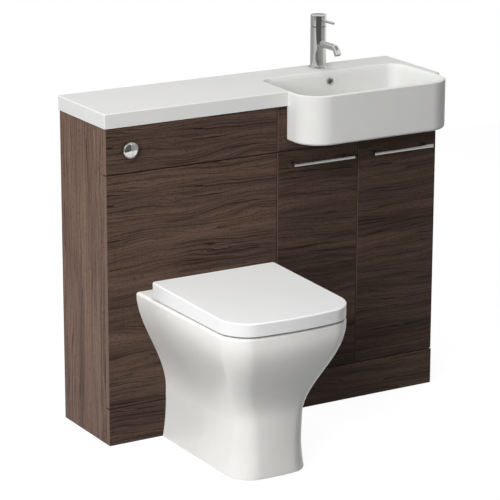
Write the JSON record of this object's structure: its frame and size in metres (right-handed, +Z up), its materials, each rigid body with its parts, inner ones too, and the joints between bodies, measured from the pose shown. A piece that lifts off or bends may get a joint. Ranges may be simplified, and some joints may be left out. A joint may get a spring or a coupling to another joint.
{
  "type": "toilet and basin combination unit",
  "caption": "Floor-standing bathroom unit that joins a back-to-wall toilet with a concealed cistern to a basin on a cupboard with doors, under one continuous top.",
  "frame": {"origin": "on the floor at the wall, where the two cabinets meet", "axes": "+X to the right along the front, +Y towards the wall, +Z up"},
  "size_m": [1.01, 0.7505, 1.0215],
  "materials": {
    "walnut_foil": "dark walnut wood-grain foil, matt",
    "white_plastic": "moulded white plastic",
    "cast_white": "cast mineral composite with a white gloss gel coat",
    "satin_steel": "satin nickel plate",
    "chrome_plate": "polished chrome plate",
    "steel": "bright steel",
    "braided_steel": "stainless steel braid over hose",
    "grey_plastic": "grey plastic",
    "brass": "turned brass with a rubber washer",
    "vitreous_china": "white glazed vitreous china",
    "seat_plastic": "white thermoset plastic, gloss",
    "rubber": "soft grey rubber",
    "cistern_plastic": "white moulded plastic"
  },
  "bodies": {
    "root": {"wc_left_side": "walnut_foil", "wc_right_side": "walnut_foil", "vanity_left_side": "walnut_foil", "vanity_right_side": "walnut_foil", "carcass_rails": "walnut_foil", "fixing_blocks": "white_plastic", "wc_fascia": "walnut_foil", "wc_access_panel": "walnut_foil", "plinths": "walnut_foil", "vanity_base": "walnut_foil", "vanity_shelf": "walnut_foil", "shelf_pins": "steel", "vanity_fascia": "walnut_foil", "hinge_arms": "satin_steel", "door_bumpers": "white_plastic", "basin_top": "cast_white", "overflow_ring": "chrome_plate", "waste_flange": "chrome_plate", "waste_nut": "white_plastic", "bottle_trap": "white_plastic", "trap_cup": "white_plastic", "waste_pipe": "white_plastic", "tap_body": "chrome_plate", "tap_flange": "chrome_plate", "tap_aerator": "grey_plastic", "tap_fixing": "brass", "tap_tails": "braided_steel", "toilet_pan": "vitreous_china", "pan_brackets": "satin_steel", "seat_hinge_posts": "chrome_plate", "seat_hinge_pins": "steel", "cistern_tank": "cistern_plastic", "cistern_lid": "cistern_plastic", "flush_valve": "cistern_plastic", "fill_valve": "cistern_plastic", "flush_pipe": "cistern_plastic", "flush_cone": "rubber", "pan_connector": "cistern_plastic", "button_bezel": "chrome_plate", "air_tubes": "grey_plastic"},
    "left_door": {"left_door": "walnut_foil", "left_handle": "satin_steel", "left_handle_screws": "satin_steel", "left_hinge_cups": "satin_steel"},
    "right_door": {"right_door": "walnut_foil", "right_handle": "satin_steel", "right_handle_screws": "satin_steel", "right_hinge_cups": "satin_steel"},
    "seat": {"toilet_seat": "seat_plastic", "seat_buffers": "rubber"},
    "lid": {"toilet_lid": "seat_plastic", "lid_buffers": "rubber"},
    "tap_spindle": {"tap_spindle": "steel"},
    "tap_head": {"tap_head": "chrome_plate", "tap_lever": "chrome_plate"},
    "full_button": {"full_button": "chrome_plate"},
    "half_button": {"half_button": "chrome_plate"},
    "flush_riser": {"flush_riser": "cistern_plastic"},
    "fill_float": {"fill_float": "cistern_plastic"},
    "waste_plug": {"waste_plug": "chrome_plate"}
  },
  "joints": [
    {"name": "left_door_hinge", "type": "hinge", "parent": "root", "child": "left_door", "pos_m": [0.0015, -0.255, 0.4085], "axis": [0, 0, -1], "range_deg": [0, 95]},
    {"name": "right_door_hinge", "type": "hinge", "parent": "root", "child": "right_door", "pos_m": [0.4985, -0.255, 0.4085], "axis": [0, 0, 1], "range_deg": [0, 95]},
    {"name": "seat_hinge", "type": "hinge", "parent": "root", "child": "seat", "pos_m": [-0.238, -0.313, 0.426], "axis": [-1, 0, 0], "range_deg": [0, 92]},
    {"name": "lid_hinge", "type": "hinge", "parent": "seat", "child": "lid", "pos_m": [-0.238, -0.313, 0.426], "axis": [1, 0, 0], "range_deg": [-92, 0]},
    {"name": "tap_turn", "type": "hinge", "parent": "root", "child": "tap_spindle", "pos_m": [0.259, -0.038, 0.988], "axis": [0, 0, 1], "range_deg": [-45, 45]},
    {"name": "tap_lift", "type": "hinge", "parent": "tap_spindle", "child": "tap_head", "pos_m": [0.259, -0.0234, 1.0075], "axis": [-1, 0, 0], "range_deg": [0, 18]},
    {"name": "full_flush_press", "type": "slide", "parent": "root", "child": "full_button", "axis": [0, 1, 0], "range_m": [0, 0.005], "stiffness_N_per_m": 1500, "springref_m": -0.001},
    {"name": "half_flush_press", "type": "slide", "parent": "root", "child": "half_button", "axis": [0, 1, 0], "range_m": [0, 0.005], "stiffness_N_per_m": 1500, "springref_m": -0.001},
    {"name": "flush_riser_lift", "type": "slide", "parent": "root", "child": "flush_riser", "axis": [0, 0, 1], "range_m": [0, 0.018]},
    {"name": "float_swing", "type": "hinge", "parent": "root", "child": "fill_float", "pos_m": [-0.355, -0.087, 0.68], "axis": [0, -1, 0], "range_deg": [0, 25]},
    {"name": "plug_lift", "type": "slide", "parent": "root", "child": "waste_plug", "axis": [0, 0, 1], "range_m": [0, 0.008]}
  ],
  "couplings": [
    {"joint": "flush_riser_lift", "follows": "full_flush_press", "ratio": 3.6}
  ]
}
